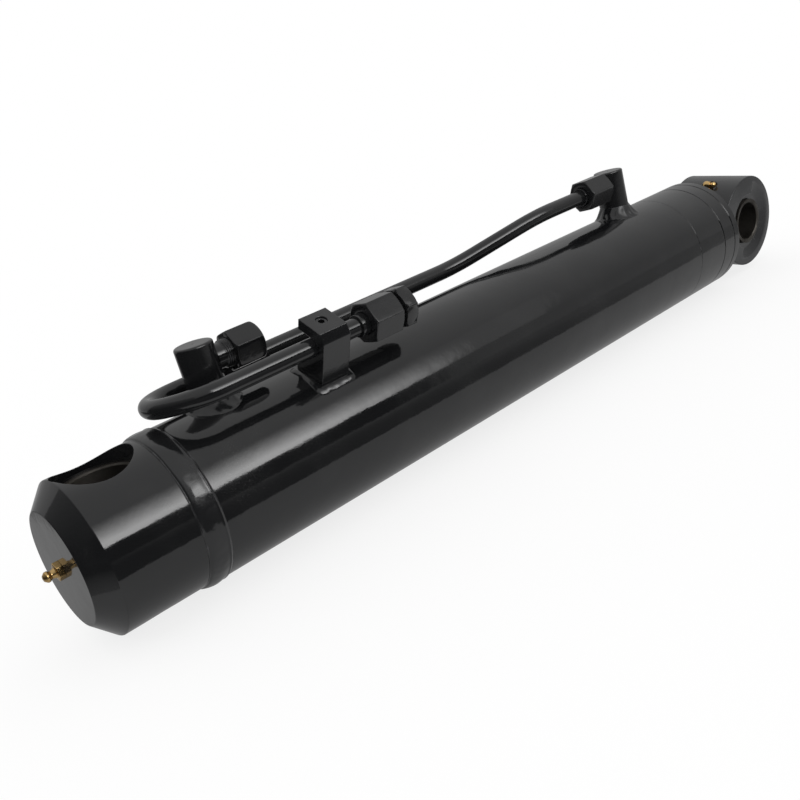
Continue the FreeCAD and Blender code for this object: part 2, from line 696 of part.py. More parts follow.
def make_rod():
    blank = turned("rod_blank", [
        ("piston_nut_at + 1", "0"), ("piston_nut_at + 1", "rod_tail_radius - 1"),
        ("piston_nut_at + 2", "rod_tail_radius"), ("piston_end", "rod_tail_radius"),
        ("piston_end", "rod_radius"), ("eye_at", "rod_radius"), ("eye_at", "0")])
    groove = doc.addObject("Part::Torus", "rod_tail_groove")
    bind(groove, Radius1="rod_tail_radius", Radius2="piston_o_ring_radius")
    place(groove, "piston_o_ring_at", turn=turn_to(Vector(1, 0, 0)))
    keep(cut("rod", blank, eye_room("rod_end_room"), groove), "rod")
    seal = doc.addObject("Part::Torus", "piston_o_ring_full")
    bind(seal, Radius1="rod_tail_radius", Radius2="piston_o_ring_radius")
    place(seal, "piston_o_ring_at", turn=turn_to(Vector(1, 0, 0)))
    limit = cylinder("piston_o_ring_limit", "rod_tail_radius", "piston_end", direction=Vector(1, 0, 0))
    squeezed = doc.addObject("Part::Common", "piston_o_ring_squeezed")
    squeezed.Base = seal
    squeezed.Tool = limit
    keep(squeezed, "piston_o_ring")


def make_piston():
    outline = [("piston_at", "rod_tail_radius"), ("piston_end", "rod_tail_radius"),
               ("piston_end", "piston_radius - 1"), ("piston_end - 1", "piston_radius")]
    grooves = (("piston_ring_two_at", "piston_ring_depth"), ("piston_seal_at", "piston_seal_depth"),
               ("piston_ring_at", "piston_ring_depth"))
    for start, depth in grooves:
        end = f"{start} + piston_groove_width"
        outline += [(end, "piston_radius"), (end, f"piston_radius - {depth}"),
                    (start, f"piston_radius - {depth}"), (start, "piston_radius")]
    outline += [("piston_at + 1", "piston_radius"), ("piston_at", "piston_radius - 1")]
    keep(turned("piston", outline), "piston")

    for label, (start, depth) in zip(("piston_wear_ring_front", "piston_seal",
                                      "piston_wear_ring_back"), grooves):
        keep(ring(label, f"{start} + seal_side_gap",
                  f"{start} + piston_groove_width - seal_side_gap",
                  f"piston_radius - {depth} + seal_floor_gap", "bore_radius - seal_to_bore"), label)

    corner = "piston_nut_flats / sqrt(3)"
    form = turned("piston_nut_form", [
        ("piston_nut_at", "rod_tail_radius"), ("piston_nut_at", f"{corner} - 2"),
        ("piston_nut_at + 1.2", corner), ("piston_nut_end", corner), ("piston_at", f"{corner} - 2"),
        ("piston_at", "rod_tail_radius")])
    nut = hexagon("piston_nut", form, "piston_nut_flats", "piston_nut_at", "piston_at")
    keep(nut, "piston_nut")


def make_rod_eye():
    """The eye is modelled with its pin along Y, then tilted about X and placed."""
    tilt = Rotation(Vector(1, 0, 0), size("eye_tilt"))
    across = Vector(0, 1, 0)
    round_bar = cylinder("rod_eye_round", "eye_radius", "eye_half_width * 2",
                         y="-eye_half_width", direction=across)
    bore = cylinder("rod_eye_bore", "eye_hole_radius", "eye_half_width * 2",
                    y="-eye_half_width", direction=across)
    tools = [bore]
    floor_radius, mouth_radius = "eye_counterbore_radius", "eye_pocket_radius"
    for side, floor, pocket_from, first, last in (
            ("near", "-eye_half_width", "-eye_half_width + eye_pocket_depth", floor_radius, mouth_radius),
            ("far", "eye_half_width - eye_counterbore_depth", "eye_half_width", mouth_radius,
             floor_radius)):
        tools.append(cylinder(f"rod_eye_counterbore_{side}", "eye_counterbore_radius",
                              "eye_counterbore_depth", y=floor, direction=across))
        pocket = doc.addObject("Part::Cone", f"rod_eye_pocket_{side}")
        bind(pocket, Radius1=first, Radius2=last, Height="eye_pocket_depth",
             Angle="eye_pocket_sweep")
        lay = Rotation(Vector(1, 0, 0), 90)
        start = Rotation(Vector(0, 0, 1), size("eye_pocket_start"))
        place(pocket, y=pocket_from, turn=lay * start)
        tools.append(pocket)
    lean = math.radians(size("elbow_angle"))
    outward = Vector(math.cos(lean), 0, math.sin(lean))
    seat_x, seat_z = "elbow_seat * cos(elbow_angle * 1deg)", "elbow_seat * sin(elbow_angle * 1deg)"
    tools.append(cylinder("rod_eye_spot_face", "elbow_spot_radius", "eye_radius", x=seat_x,
                          y="elbow_side", z=seat_z, direction=outward))
    tools.append(cylinder("rod_eye_grease_thread", "nipple_thread_radius - 1",
                          "elbow_seat / 2", x=f"{seat_x} / 2", y="elbow_side",
                          z=f"{seat_z} / 2", direction=outward))
    keep(place(cut("rod_eye", round_bar, *tools), "eye_at", turn=tilt), "rod_eye")

    shell = turned("rod_eye_bushing_wall", [
        ("-eye_half_width", "eye_pin_radius + 1"), ("-eye_half_width", "eye_hole_radius"),
        ("eye_half_width", "eye_hole_radius"), ("eye_half_width", "eye_pin_radius + 1"),
        ("eye_half_width - 1", "eye_pin_radius"), ("-eye_half_width + 1", "eye_pin_radius")])
    place(shell, turn=Rotation(Vector(0, 0, 1), 90))
    hole = cylinder("rod_eye_bushing_hole", "grease_hole_radius", "eye_hole_radius * 2",
                    y="elbow_side", direction=outward)
    keep(place(cut("rod_eye_bushing", shell, hole), "eye_at", turn=tilt), "rod_eye_bushing")

    cone = doc.addObject("Part::Cone", "rod_eye_weld_cone")
    bind(cone, Radius1="rod_radius", Radius2="eye_weld_radius", Height="eye_weld_end - eye_weld_start")
    place(cone, "eye_weld_start", turn=turn_to(Vector(1, 0, 0)))
    rod_room = cylinder("rod_eye_weld_rod", "rod_radius", "eye_at", direction=Vector(1, 0, 0))
    keep(cut("rod_eye_weld", cone, rod_room, eye_room("rod_eye_weld_room")), "rod_eye_weld")


def make_rod_grease_fitting():
    """An elbow fitting: a hexagon foot on the spot face and a head along the eye's pin axis."""
    reach = Vector(0, -1, 0)
    foot = doc.addObject("Part::Prism", "elbow_foot")
    foot.Polygon = 6
    bind(foot, Circumradius="elbow_flats / sqrt(3)", Height="elbow_hex_height")
    post = cylinder("elbow_post", "elbow_radius", "elbow_height", z="0")
    ball = doc.addObject("Part::Sphere", "elbow_ball")
    bind(ball, Radius="elbow_radius")
    place(ball, z="elbow_height")
    arm = cylinder("elbow_arm", "elbow_radius - 0.6", "elbow_radius + 1", z="elbow_height",
                   direction=reach)
    nozzle = turned("elbow_nozzle", [
        ("0", "0"), ("0", "nipple_neck_radius"), ("elbow_radius + 3", "nipple_neck_radius"),
        ("elbow_radius + 4", "nipple_head_radius"), ("elbow_radius + 5", "nipple_head_radius"),
        ("elbow_radius + 7", "nipple_head_radius - 1.6"), ("elbow_radius + 7", "0")])
    place(nozzle, z="elbow_height", turn=Rotation(Vector(0, 0, 1), -90))
    thread = cylinder("elbow_thread", "nipple_thread_radius - 1", "nipple_thread_length",
                      z="-nipple_thread_length")
    solid = joined("elbow", foot, post, ball, arm, nozzle, thread)
    lean = Rotation(Vector(0, 1, 0), 90 - size("elbow_angle"))
    tilt = Rotation(Vector(1, 0, 0), size("eye_tilt"))
    seat = tilt.multVec(Vector(size("elbow_seat * cos(elbow_angle * 1deg)"), size("elbow_side"),
                               size("elbow_seat * sin(elbow_angle * 1deg)")))
    solid.Placement = Placement(Vector(size("eye_at"), 0, 0) + seat, tilt * lean)
    keep(solid, "rod_grease_fitting")


make_barrel_tube()
make_base_end_block()
make_base_weld_bead()
make_base_bushing()
make_base_grease_fitting()
make_port_post("base", 1, "nut_height")
make_port_post("head", -1, "head_leg_height")
make_port_weld("base")
make_port_weld("head")
make_head_fitting()
make_base_fitting()
make_coupling()
make_return_tube()
make_clamp()
make_head_end()
make_rod()
make_piston()
make_rod_eye()
make_rod_grease_fitting()
doc.recompute()

faults = [f"{item.Name}: {item.State}" for item in doc.Objects
          if "Invalid" in item.State or "Error" in item.State]
for piece in pieces:
    if piece.Shape.isNull() or not piece.Shape.isValid() or not piece.Shape.Solids:
        faults.append(f"{piece.Label}: no valid solid")
if faults:
    raise RuntimeError("; ".join(faults))

os.makedirs("parts", exist_ok=True)
for piece in pieces:
    piece.Shape.exportStep(f"parts/{piece.Label}.step")
    box = piece.Shape.BoundBox
    print(f"{piece.Label}: {len(piece.Shape.Solids)} solid, {piece.Shape.Volume / 1000:.1f} cm3, "
          f"x {box.XMin:.1f} to {box.XMax:.1f}, y {box.YMin:.1f} to {box.YMax:.1f}, "
          f"z {box.ZMin:.1f} to {box.ZMax:.1f}")
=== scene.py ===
import math

import bmesh
import bpy
from mathutils import Matrix, Vector, noise


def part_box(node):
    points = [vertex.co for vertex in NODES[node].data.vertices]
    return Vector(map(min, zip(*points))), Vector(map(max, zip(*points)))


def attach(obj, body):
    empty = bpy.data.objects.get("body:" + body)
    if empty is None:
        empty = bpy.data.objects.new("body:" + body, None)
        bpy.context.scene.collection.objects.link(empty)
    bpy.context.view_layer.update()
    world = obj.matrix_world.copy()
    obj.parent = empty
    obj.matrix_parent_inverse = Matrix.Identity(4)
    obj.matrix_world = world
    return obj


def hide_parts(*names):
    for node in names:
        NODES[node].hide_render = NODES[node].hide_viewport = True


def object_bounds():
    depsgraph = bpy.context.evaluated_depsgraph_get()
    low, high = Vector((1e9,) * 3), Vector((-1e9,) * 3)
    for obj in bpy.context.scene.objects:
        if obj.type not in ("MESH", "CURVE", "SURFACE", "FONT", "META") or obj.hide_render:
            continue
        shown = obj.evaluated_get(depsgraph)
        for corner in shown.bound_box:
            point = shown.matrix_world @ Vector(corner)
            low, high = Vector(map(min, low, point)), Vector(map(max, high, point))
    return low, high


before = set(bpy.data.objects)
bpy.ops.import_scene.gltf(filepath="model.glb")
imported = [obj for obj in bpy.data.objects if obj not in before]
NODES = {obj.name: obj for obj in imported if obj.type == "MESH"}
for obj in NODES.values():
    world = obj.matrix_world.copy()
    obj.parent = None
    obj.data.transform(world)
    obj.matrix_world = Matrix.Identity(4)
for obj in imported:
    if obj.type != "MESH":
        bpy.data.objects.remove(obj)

# Metres, in the frame of the CAD model: +X along the cylinder towards the rod eye, +Z the
# direction that the port posts point in, origin in the centre of the base cross bore.

CAD_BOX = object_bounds()
MM = 0.001


def corners(node):
    """Lowest and highest corner of a CAD node, as vectors."""
    low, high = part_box(node)
    return Vector(low), Vector(high)


def middle(node):
    low, high = corners(node)
    return (low + high) / 2


def wobble(point, scale, seed):
    """Smooth noise between about -1 and 1, the same on every run."""
    return noise.noise(Vector(point) * scale + Vector((seed, 2.7 * seed, -1.3 * seed)))


BARREL_RADIUS = corners("barrel_tube")[1].y
EYE_CENTRE = Vector((middle("rod_eye_bushing").x, 0, 0))
EYE_TILT = math.radians(6.5)
EYE_RADIUS = corners("rod_eye")[1].x - EYE_CENTRE.x
ROD_RADIUS = 25 * MM

# Fittings
TUBE_RADIUS = 6 * MM
THREAD_RADIUS = 9 * MM
THREAD_PITCH = 1.5 * MM
NUT_BORE = 9.05 * MM
SLEEVE_BORE = 7.55 * MM
TUBE_SOCKET = 6.1 * MM
PASSAGE = 4 * MM
NUT_FLATS = 24 * MM
COUPLING_FLATS = 26 * MM
NUT_LIP = 5 * MM
BEVEL_DROP = 1.9 * MM
BEVEL_LENGTH = 1.0 * MM
CORNER_SPARE = 0.3 * MM

# Return line: where its S-bend starts and ends along X, and its back leg
S_BEND_HIGH = 401 * MM
S_BEND_LOW = 328.5 * MM
S_BEND_RADIUS = 80 * MM
BACK_LEG_END = Vector((76.35 * MM, 30 * MM, 58.5 * MM))

# Clamp: its lean from Z, and its reach to each side of its own middle
CLAMP_LEAN = math.atan2(35.5, 65.0)
CLAMP_NEAR = 11.1 * MM
CLAMP_FAR = 13.7 * MM

# Welds
WELD_SINK = 0.9 * MM
BASE_WELD_CROWN = 1.0 * MM
BASE_WELD_ROOT = 1.2 * MM
BASE_WELD_RIDGE = 0.45 * MM
BASE_WELD_UNDERCUT = 0.5 * MM


# ---------------------------------------------------------------- materials

def new_material(name):
    """A node material: the material, its node tree and its shader."""
    material = bpy.data.materials.new(name)
    material.use_nodes = True
    return material, material.node_tree, material.node_tree.nodes["Principled BSDF"]


def add(tree, kind, inputs=None, **settings):
    """A node with its settings and inputs; an input that is a socket is linked."""
    node = tree.nodes.new(kind)
    for name, value in settings.items():
        setattr(node, name, value)
    for name, value in (inputs or {}).items():
        if isinstance(value, bpy.types.NodeSocket):
            tree.links.new(value, node.inputs[name])
        else:
            node.inputs[name].default_value = value
    return node


def grey(value, tint=(1.0, 1.0, 1.0)):
    return (value * tint[0], value * tint[1], value * tint[2], 1)


def remap(tree, value, low, high, out_low, out_high):
    """A value taken from one range to another, clamped."""
    return add(tree, "ShaderNodeMapRange", {
        "Value": value, "From Min": low, "From Max": high, "To Min": out_low,
        "To Max": out_high}).outputs[0]


def math_node(tree, operation, first, second=0.5):
    return add(tree, "ShaderNodeMath", {0: first, 1: second}, operation=operation).outputs[0]


def object_point(tree, stretch=(1, 1, 1)):
    """The point on the piece in its own space, stretched for a directional texture."""
    where = add(tree, "ShaderNodeTexCoord").outputs["Object"]
    return add(tree, "ShaderNodeMapping", {"Vector": where, "Scale": stretch}).outputs[0]


def noise_node(tree, where, scale, detail=3.0, roughness=0.5):
    return add(tree, "ShaderNodeTexNoise", {
        "Vector": where, "Scale": scale, "Detail": detail, "Roughness": roughness}).outputs[0]


def edge_mask(tree, radius):
    """One where the surface turns a sharp corner within the radius, else zero."""
    soft = add(tree, "ShaderNodeBevel", {"Radius": radius}, samples=6).outputs[0]
    flat = add(tree, "ShaderNodeNewGeometry").outputs["Normal"]
    match = add(tree, "ShaderNodeVectorMath", {0: soft, 1: flat}, operation="DOT_PRODUCT")
    return remap(tree, match.outputs["Value"], 0.995, 0.9, 0.0, 1.0)


def finish_surface(tree, shader, heights, edge=0.0004):
    """Rounded edges plus a chain of bumps; each height is (socket, strength, distance)."""
    normal = add(tree, "ShaderNodeBevel", {"Radius": edge}, samples=6).outputs[0]
    for height, strength, distance in heights:
        normal = add(tree, "ShaderNodeBump", {
            "Height": height, "Strength": strength, "Distance": distance,
            "Normal": normal}).outputs[0]
    tree.links.new(normal, shader.inputs["Normal"])


def mixed(tree, factor, first, second):
    """Two colours mixed by a factor."""
    node = tree.nodes.new("ShaderNodeMix")
    node.data_type = "RGBA"
    for socket, value in ((node.inputs[0], factor), (node.inputs[6], first),
                          (node.inputs[7], second)):
        if isinstance(value, bpy.types.NodeSocket):
            tree.links.new(value, socket)
        else:
            socket.default_value = value
    return node.outputs[2]


def paint(name, roughness, satin_from=None, peel=1.0, lift=0.0, edge=0.0004):
    """Black enamel: orange peel, a haze of dust, fine hairlines and thin paint at edges.

    satin_from is the distance along X where the gloss starts to fade towards the head end.
    """
    material, tree, shader = new_material(name)
    where = object_point(tree)
    broad = noise_node(tree, where, 22.0, 4.0)
    orange = noise_node(tree, where, 420.0, 2.0)
    sag = noise_node(tree, where, 45.0, 2.0)
    hair = noise_node(tree, object_point(tree, (60.0, 900.0, 900.0)), 1.0, 4.0, 0.7)
    specks = noise_node(tree, where, 1600.0, 1.0)
    hairline = remap(tree, hair, 0.62, 0.75, 0.0, 1.0)
    dust = math_node(tree, "MULTIPLY", remap(tree, broad, 0.5, 0.75, 0.0, 1.0),
                     remap(tree, specks, 0.55, 0.75, 0.1, 1.0))
    worn = math_node(tree, "MULTIPLY", edge_mask(tree, 0.0006),
                     remap(tree, noise_node(tree, where, 160.0, 3.0), 0.45, 0.7, 0.0, 0.6))
    body = mixed(tree, dust, grey(0.0075 + lift, (0.95, 0.98, 1.05)), grey(0.03 + lift))
    tree.links.new(mixed(tree, worn, body, grey(0.14, (1.0, 1.0, 1.05))),
                   shader.inputs["Base Color"])
    rough = remap(tree, broad, 0.3, 0.75, roughness * 0.75, roughness * 1.5)
    if satin_from is not None:
        along = add(tree, "ShaderNodeSeparateXYZ", {"Vector": where}).outputs[0]
        rough = math_node(tree, "ADD", rough, remap(tree, along, satin_from, 0.6, 0.0, 0.03))
    rough = math_node(tree, "ADD", rough, math_node(tree, "MULTIPLY", hairline, 0.1))
    tree.links.new(rough, shader.inputs["Roughness"])
    finish_surface(tree, shader, [(sag, 0.10 * peel, 0.002), (orange, 0.06 * peel, 0.0004),
                                  (hairline, 0.05, 0.0001)], edge)
    return material


def metal(name, colour, roughness, streaks, streak_depth=0.2, edge=0.0003, dirt=0.0):
    """Bare metal with tool marks along one direction and uneven shine."""
    material, tree, shader = new_material(name)
    shader.inputs["Metallic"].default_value = 1.0
    marks = noise_node(tree, object_point(tree, streaks), 1.0, 4.0, 0.65)
    cloud = noise_node(tree, object_point(tree), 60.0, 3.0)
    tint = mixed(tree, remap(tree, marks, 0.35, 0.7, 0.0, 0.35), colour,
                 tuple(channel * 0.6 for channel in colour[:3]) + (1,))
    grime = remap(tree, cloud, 0.45, 0.75, 0.0, dirt)
    tree.links.new(mixed(tree, grime, tint, grey(0.04, (1.0, 0.9, 0.75))),
                   shader.inputs["Base Color"])
    rough = math_node(tree, "ADD", remap(tree, cloud, 0.3, 0.7, roughness * 0.7, roughness * 1.3),
                      remap(tree, marks, 0.4, 0.7, 0.0, 0.08))
    tree.links.new(rough, shader.inputs["Roughness"])
    finish_surface(tree, shader, [(marks, streak_depth, 0.0001)], edge)
    return material


def soft_part(name, colour, roughness):
    """Rubber or plastic with a fine moulded grain and lighter scuffs."""
    material, tree, shader = new_material(name)
    where = object_point(tree)
    grain = noise_node(tree, where, 900.0, 3.0)
    scuff = remap(tree, noise_node(tree, where, 80.0, 4.0), 0.5, 0.75, 0.0, 0.4)
    lighter = tuple(min(1.0, channel * 1.8 + 0.02) for channel in colour[:3]) + (1,)
    tree.links.new(mixed(tree, scuff, colour, lighter), shader.inputs["Base Color"])
    tree.links.new(remap(tree, grain, 0.3, 0.7, roughness * 0.85, roughness * 1.15),
                   shader.inputs["Roughness"])
    finish_surface(tree, shader, [(grain, 0.15, 0.0002)])
    return material


BARREL_PAINT = paint("black_paint_barrel", 0.075, satin_from=0.12)
PART_PAINT = paint("black_paint_parts", 0.11, peel=1.3, edge=0.0008)
WELD_PAINT = paint("black_paint_welds", 0.13, peel=2.2, lift=0.002)
EYE_PAINT = paint("black_paint_rod_eye", 0.2, peel=1.2, lift=0.008)
ZINC = metal("plated_steel", grey(0.42, (1.0, 1.0, 0.98)), 0.24, (90.0, 700.0, 700.0))
BUSH = metal("bushing_steel", grey(0.06, (1.0, 0.93, 0.84)), 0.55, (220.0, 220.0, 220.0), 0.5, dirt=0.8)
IRON = metal("piston_iron", grey(0.22), 0.4, (900.0, 60.0, 60.0))
CHROME = metal("chrome_rod", grey(0.6, (0.98, 1.0, 1.02)), 0.05, (1500.0, 25.0, 25.0), 0.02)
BRASS = metal("brass", (0.64, 0.43, 0.18, 1), 0.2, (300.0, 300.0, 300.0), 0.12, 0.0002, 0.25)
RUBBER = soft_part("seal_rubber", grey(0.02), 0.5)
PLASTIC = soft_part("wear_ring_plastic", (0.36, 0.23, 0.09, 1), 0.6)

SURFACES = {
    "barrel_tube": BARREL_PAINT, "base_end_block": BARREL_PAINT,
    "head_collar": BARREL_PAINT, "gland": BARREL_PAINT, "wiper_ring_housing": BARREL_PAINT,
    "rod_eye": EYE_PAINT, "rod_eye_weld": EYE_PAINT, "tube_clamp_block": PART_PAINT,
    "base_port_post": PART_PAINT, "head_port_post": PART_PAINT, "return_tube": PART_PAINT,
    "base_port_adapter": PART_PAINT, "head_port_adapter": PART_PAINT,
    "base_port_nut": PART_PAINT, "head_tube_nut": PART_PAINT, "head_tube_sleeve": PART_PAINT,
    "coupling_nut": PART_PAINT, "coupling_body": PART_PAINT, "coupling_sleeve": PART_PAINT,
    "base_weld_bead": WELD_PAINT, "base_port_weld": WELD_PAINT, "head_port_weld": WELD_PAINT,
    "clamp_weld": WELD_PAINT, "clamp_screw": PART_PAINT, "piston_nut": ZINC,
    "base_bushing": BUSH, "rod_eye_bushing": BUSH, "piston": IRON, "rod": CHROME,
    "base_grease_fitting": BRASS, "rod_grease_fitting": BRASS,
    "piston_wear_ring_front": PLASTIC, "piston_wear_ring_back": PLASTIC,
    "rod_wear_ring_inner": PLASTIC, "rod_wear_ring_outer": PLASTIC,
    "gland_backup_ring": PLASTIC, "piston_seal": RUBBER, "piston_o_ring": RUBBER,
    "rod_seal": RUBBER, "buffer_seal": RUBBER, "wiper_seal": RUBBER, "gland_o_ring": RUBBER,
}
for label, node in NODES.items():
    node.data.materials.clear()
    node.data.materials.append(SURFACES[label])


# ---------------------------------------------------------------- making pieces

def piece(name, verts, faces, stands_for, body="barrel", matrix=None, sharp=35.0):
    """A smooth mesh object in the row frame that replaces CAD nodes and rides on a body."""
    mesh = bpy.data.meshes.new(name)
    mesh.from_pydata([tuple(v) for v in verts], [], faces)
    if matrix is not None:
        mesh.transform(matrix)
    work = bmesh.new()
    work.from_mesh(mesh)
    bmesh.ops.remove_doubles(work, verts=work.verts, dist=1e-7)
    bmesh.ops.recalc_face_normals(work, faces=work.faces)
    return wrap(work, mesh, name, stands_for, body, sharp)


def wrap(work, mesh, name, stands_for, body, sharp):
    limit = math.radians(sharp)
    for face in work.faces:
        face.smooth = True
    for edge in work.edges:
        edge.smooth = len(edge.link_faces) == 2 and edge.calc_face_angle(0.0) < limit
    work.to_mesh(mesh)
    work.free()
    item = bpy.data.objects.new(name, mesh)
    bpy.context.scene.collection.objects.link(item)
    material = SURFACES[stands_for[0]]
    mesh.materials.append(material)
    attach(item, body)
    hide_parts(*stands_for)
    return item


def rounded(profile, radius, steps=4):
    """A closed outline with each corner turned into a short arc."""
    result = []
    count = len(profile)
    for index in range(count):
        here = Vector(profile[index])
        before = Vector(profile[index - 1]) - here
        after = Vector(profile[(index + 1) % count]) - here
        reach = min(radius, before.length * 0.45, after.length * 0.45)
        start, end = here + before.normalized() * reach, here + after.normalized() * reach
        for step in range(steps + 1):
            t = step / steps
            result.append(start * (1 - t) ** 2 + here * 2 * t * (1 - t) + end * t ** 2)
    return result


def lathe_mesh(profile, segments=96, shape=None):
    """Vertices and faces of a closed outline (along, radius) turned about X."""
    verts, faces, rows = [], [], len(profile)
    for turn in range(segments):
        angle = 2 * math.pi * turn / segments
        for along, radius in profile:
            if shape is not None:
                along, radius = shape(along, radius, angle)
            verts.append((along, radius * math.cos(angle), radius * math.sin(angle)))
    for turn in range(segments):
        following = (turn + 1) % segments
        for row in range(rows):
            below = (row + 1) % rows
            faces.append((turn * rows + row, turn * rows + below,
                          following * rows + below, following * rows + row))
    return verts, faces


def hexagon_reach(angle, flats, start):
    """Radius of a hexagon in a direction; the first corner is at start."""
    part = math.radians(60)
    off = (angle - start) % part - part / 2
    return flats / 2 / math.cos(off)


def tube_mesh(points, radius, segments=40):
    """A round bar swept along points, with closed ends."""
    verts, faces = [], []
    side = Vector((0, 0, 1))
    for index, point in enumerate(points):
        ahead = points[min(index + 1, len(points) - 1)] - points[max(index - 1, 0)]
        ahead.normalize()
        side = (side - ahead * side.dot(ahead)).normalized()
        other = ahead.cross(side)
        for turn in range(segments):
            angle = 2 * math.pi * turn / segments
            verts.append(point + side * (radius * math.cos(angle))
                         + other * (radius * math.sin(angle)))
    for index in range(len(points) - 1):
        for turn in range(segments):
            following = (turn + 1) % segments
            faces.append((index * segments + turn, index * segments + following,
                          (index + 1) * segments + following, (index + 1) * segments + turn))
    last = (len(points) - 1) * segments
    faces.append(tuple(range(segments)))
    faces.append(tuple(last + turn for turn in range(segments)))
    return verts, faces


def fillet_mesh(rim, leg, rise, ground, seed, ripple, pitch, hollow=1.35, bulge=0.32):
    """A bead of weld between an upright wall and the ground round its foot.

    rim is a closed list of (point, outward direction) in the plane; leg and rise are the
    bead's reach along the ground and up the wall; ground gives the height at a point.
    hollow above one dishes the bead and bulge fills it out.
    """
    across, verts, faces = 18, [], []
    travelled, before = 0.0, rim[-1][0]
    for point, outward in rim:
        travelled += (point - before).length
        before = point
        lump = wobble((point.x, point.y, 0), 120.0, seed)
        reach = leg * (1 + 0.16 * lump)
        height = rise * (1 + 0.14 * wobble((point.x, point.y, 0.01), 150.0, seed + 5))
        column = []
        for step in range(across + 1):
            t = step / across
            spot = point + outward * (reach * t)
            arch = (1 - t) ** hollow + bulge * math.sin(math.pi * t)
            phase = 2 * math.pi * (travelled / pitch + 0.35 * math.sin(math.pi * t))
            scale = math.sin(math.pi * min(1.0, max(0.0, t * 0.96 + 0.04)))
            wave = ripple * scale * (0.5 * math.cos(phase)
                                     + 0.8 * wobble((spot.x, spot.y, t * 0.004), 210.0, seed + 9))
            column.append(Vector((spot.x, spot.y, ground(spot.x, spot.y) + height * arch * 0.92 + wave)))
        toe = point + outward * (reach * 0.97)
        column[-1].z = ground(column[-1].x, column[-1].y) - 0.1 * MM
        column.append(Vector((toe.x, toe.y, ground(toe.x, toe.y) - WELD_SINK)))
        column.append(Vector((point.x, point.y, ground(point.x, point.y) - WELD_SINK)))
        verts.extend(column)
    rows = across + 3
    for index in range(len(rim)):
        following = (index + 1) % len(rim)
        for row in range(rows):
            below = (row + 1) % rows
            faces.append((index * rows + row, index * rows + below,
                          following * rows + below, following * rows + row))
    return verts, faces


def round_rim(radius, segments=180):
    """A circle as (point, outward direction) pairs."""
    result = []
    for turn in range(segments):
        angle = 2 * math.pi * turn / segments
        outward = Vector((math.cos(angle), math.sin(angle)))
        result.append((outward * radius, outward))
    return result


def box_rim(low, high, corner, step=0.0005):
    """A rectangle with rounded corners as (point, outward direction) pairs."""
    result = []
    arcs = (((high.x, high.y), 0), ((low.x, high.y), 90), ((low.x, low.y), 180),
            ((high.x, low.y), 270))
    for index, ((x, y), start) in enumerate(arcs):
        inward = Vector((corner if x == low.x else -corner, corner if y == low.y else -corner))
        centre = Vector((x, y)) + inward
        for part in range(13):
            angle = math.radians(start + 90 * part / 12)
            outward = Vector((math.cos(angle), math.sin(angle)))
            result.append((centre + outward * corner, outward))
        (next_x, next_y), next_start = arcs[(index + 1) % 4]
        inward = Vector((corner if next_x == low.x else -corner,
                         corner if next_y == low.y else -corner))
        outward = Vector((math.cos(math.radians(next_start)), math.sin(math.radians(next_start))))
        end = Vector((next_x, next_y)) + inward + outward * corner
        here = result[-1][0]
        count = max(2, int((end - here).length / step))
        for part in range(1, count):
            result.append((here.lerp(end, part / count), outward))
    return result


def softened(label, width, body="barrel", segments=3, sharp=30.0, change=None):
    """A copy of a CAD node with its sharp edges rounded, standing in for the node."""
    source = NODES[label]
    mesh = source.data.copy()
    mesh.name = label + "_soft"
    if mesh.has_custom_normals:
        mesh.normals_split_custom_set([(0, 0, 0)] * len(mesh.loops))
    mesh.transform(source.matrix_world)
    if change is not None:
        mesh.transform(change)
    mesh.materials.clear()
    work = bmesh.new()
    work.from_mesh(mesh)
    bmesh.ops.remove_doubles(work, verts=work.verts, dist=1e-6)
    bmesh.ops.dissolve_limit(work, angle_limit=math.radians(0.05), verts=work.verts,
                             edges=work.edges)
    edges = [edge for edge in work.edges
             if len(edge.link_faces) == 2 and edge.calc_face_angle(0.0) > math.radians(sharp)]
    bmesh.ops.bevel(work, geom=edges, offset=width, offset_type="OFFSET", segments=segments,
                    profile=0.5, affect="EDGES", clamp_overlap=True)
    item = wrap(work, mesh, label + "_soft", [label], body, 32.0)
    item.modifiers.new("even_normals", "WEIGHTED_NORMAL").keep_sharp = True


# ---------------------------------------------------------------- welds

def barrel_height(_, y):
    """How high the barrel's surface is above a point of the plan."""
    return math.sqrt(max(1e-9, BARREL_RADIUS ** 2 - y ** 2))


def base_weld():
    """The dressed bead between the base block and the barrel, with a ridge at its front."""
    low, high = corners("base_weld_bead")
    start, end = low.x, high.x
    block, barrel = corners("base_end_block")[1].y, BARREL_RADIUS
    crown = barrel + BASE_WELD_CROWN
    outline = []
    steps = 48
    for step in range(steps + 1):
        t = step / steps
        rise = crown - (block + (barrel - block) * t) - 0.1 * MM
        hump = math.sin(math.pi * t) ** 0.62
        ridge = BASE_WELD_RIDGE * math.exp(-((t - 0.9) / 0.04) ** 2)
        ridge -= BASE_WELD_UNDERCUT * math.exp(-((t - 0.04) / 0.03) ** 2)
        outline.append((start + (end - start) * t,
                        block + (barrel - block) * t + rise * hump + ridge))
    outline += [(end, barrel - BASE_WELD_ROOT), (start, block - BASE_WELD_ROOT)]

    def shape(along, radius, angle):
        t = (along - start) / (end - start)
        if radius <= block - 1.0 * MM or (t >= 1.0 and radius < barrel):
            return along, radius
        spot = (along, math.cos(angle) * crown, math.sin(angle) * crown)
        gate = math.sin(math.pi * min(1.0, max(0.0, t)))
        lump = 0.7 * MM * wobble(spot, 62.0, 3.0) + 0.12 * MM * wobble(spot, 210.0, 5.0)
        edge = 0.4 * MM * wobble(spot, 40.0, 8.0) * math.cos(math.pi * t)
        return along + edge, radius + gate * lump

    verts, faces = lathe_mesh(outline, 720, shape)
    piece("base_weld_dressed", verts, faces, ["base_weld_bead"])


